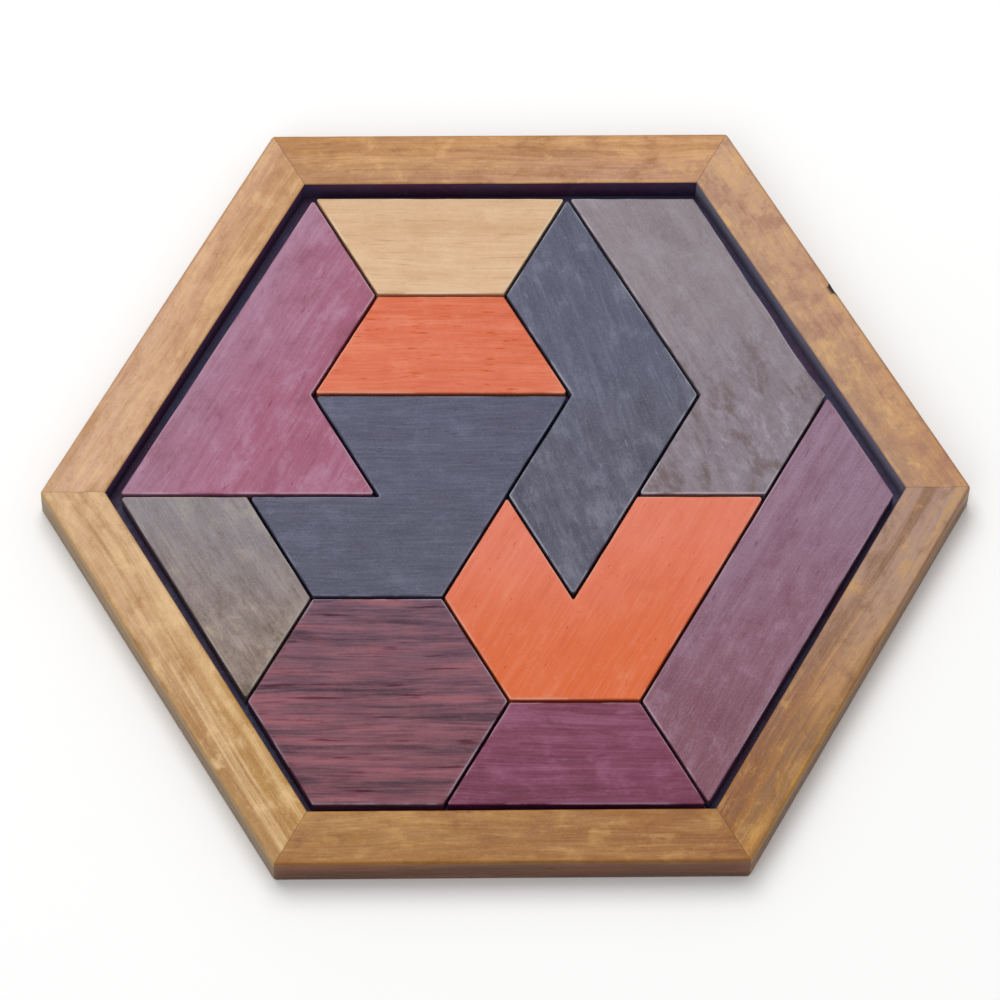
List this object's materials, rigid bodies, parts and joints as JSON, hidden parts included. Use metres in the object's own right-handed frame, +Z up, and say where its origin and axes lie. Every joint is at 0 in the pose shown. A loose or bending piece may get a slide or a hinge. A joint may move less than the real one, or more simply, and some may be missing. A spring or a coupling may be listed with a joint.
{
  "type": "hexagonal tray puzzle",
  "caption": "Flat hexagonal wooden tray with mitred rails, filled by loose stained hardwood tiles cut on a triangular grid.",
  "frame": {"origin": "on the underside, at the middle of the hexagonal tray", "axes": "+X from corner to corner, +Y towards the back rail, +Z up out of the tray"},
  "size_m": [0.1848, 0.1602, 0.008],
  "materials": {
    "frame_wood": "satin varnish, golden brown hardwood",
    "base_board": "matt black",
    "pale_wood": "satin, natural",
    "orange_red_wood": "satin, orange-red stain",
    "slate_wood": "satin, slate grey stain",
    "mauve_wood": "satin, mauve stain",
    "taupe_wood": "satin, taupe stain",
    "plum_wood": "satin, plum stain",
    "rosewood": "satin, dark striped rosewood"
  },
  "bodies": {
    "tray": {"rail_front": "frame_wood", "rail_front_right": "frame_wood", "rail_back_right": "frame_wood", "rail_back": "frame_wood", "rail_back_left": "frame_wood", "rail_front_left": "frame_wood", "base_board": "base_board"},
    "mauve_arrow": {"mauve_arrow": "mauve_wood"},
    "pale_trapezoid": {"pale_trapezoid": "pale_wood"},
    "red_trapezoid": {"red_trapezoid": "orange_red_wood"},
    "slate_centre": {"slate_centre": "slate_wood"},
    "slate_chevron": {"slate_chevron": "slate_wood"},
    "taupe_hook": {"taupe_hook": "taupe_wood"},
    "orange_vee": {"orange_vee": "orange_red_wood"},
    "mauve_bar": {"mauve_bar": "mauve_wood"},
    "plum_trapezoid": {"plum_trapezoid": "plum_wood"},
    "rosewood_hexagon": {"rosewood_hexagon": "rosewood"},
    "taupe_trapezoid": {"taupe_trapezoid": "taupe_wood"}
  },
  "joints": [
    {"name": "lift_mauve_arrow", "type": "slide", "parent": "tray", "child": "mauve_arrow", "axis": [0, 0, 1], "range_m": [0, 0.03]},
    {"name": "lift_pale_trapezoid", "type": "slide", "parent": "tray", "child": "pale_trapezoid", "axis": [0, 0, 1], "range_m": [0, 0.03]},
    {"name": "lift_red_trapezoid", "type": "slide", "parent": "tray", "child": "red_trapezoid", "axis": [0, 0, 1], "range_m": [0, 0.03]},
    {"name": "lift_slate_centre", "type": "slide", "parent": "tray", "child": "slate_centre", "axis": [0, 0, 1], "range_m": [0, 0.03]},
    {"name": "lift_slate_chevron", "type": "slide", "parent": "tray", "child": "slate_chevron", "axis": [0, 0, 1], "range_m": [0, 0.03]},
    {"name": "lift_taupe_hook", "type": "slide", "parent": "tray", "child": "taupe_hook", "axis": [0, 0, 1], "range_m": [0, 0.03]},
    {"name": "lift_orange_vee", "type": "slide", "parent": "tray", "child": "orange_vee", "axis": [0, 0, 1], "range_m": [0, 0.03]},
    {"name": "lift_mauve_bar", "type": "slide", "parent": "tray", "child": "mauve_bar", "axis": [0, 0, 1], "range_m": [0, 0.03]},
    {"name": "lift_plum_trapezoid", "type": "slide", "parent": "tray", "child": "plum_trapezoid", "axis": [0, 0, 1], "range_m": [0, 0.03]},
    {"name": "lift_rosewood_hexagon", "type": "slide", "parent": "tray", "child": "rosewood_hexagon", "axis": [0, 0, 1], "range_m": [0, 0.03]},
    {"name": "lift_taupe_trapezoid", "type": "slide", "parent": "tray", "child": "taupe_trapezoid", "axis": [0, 0, 1], "range_m": [0, 0.03]}
  ]
}
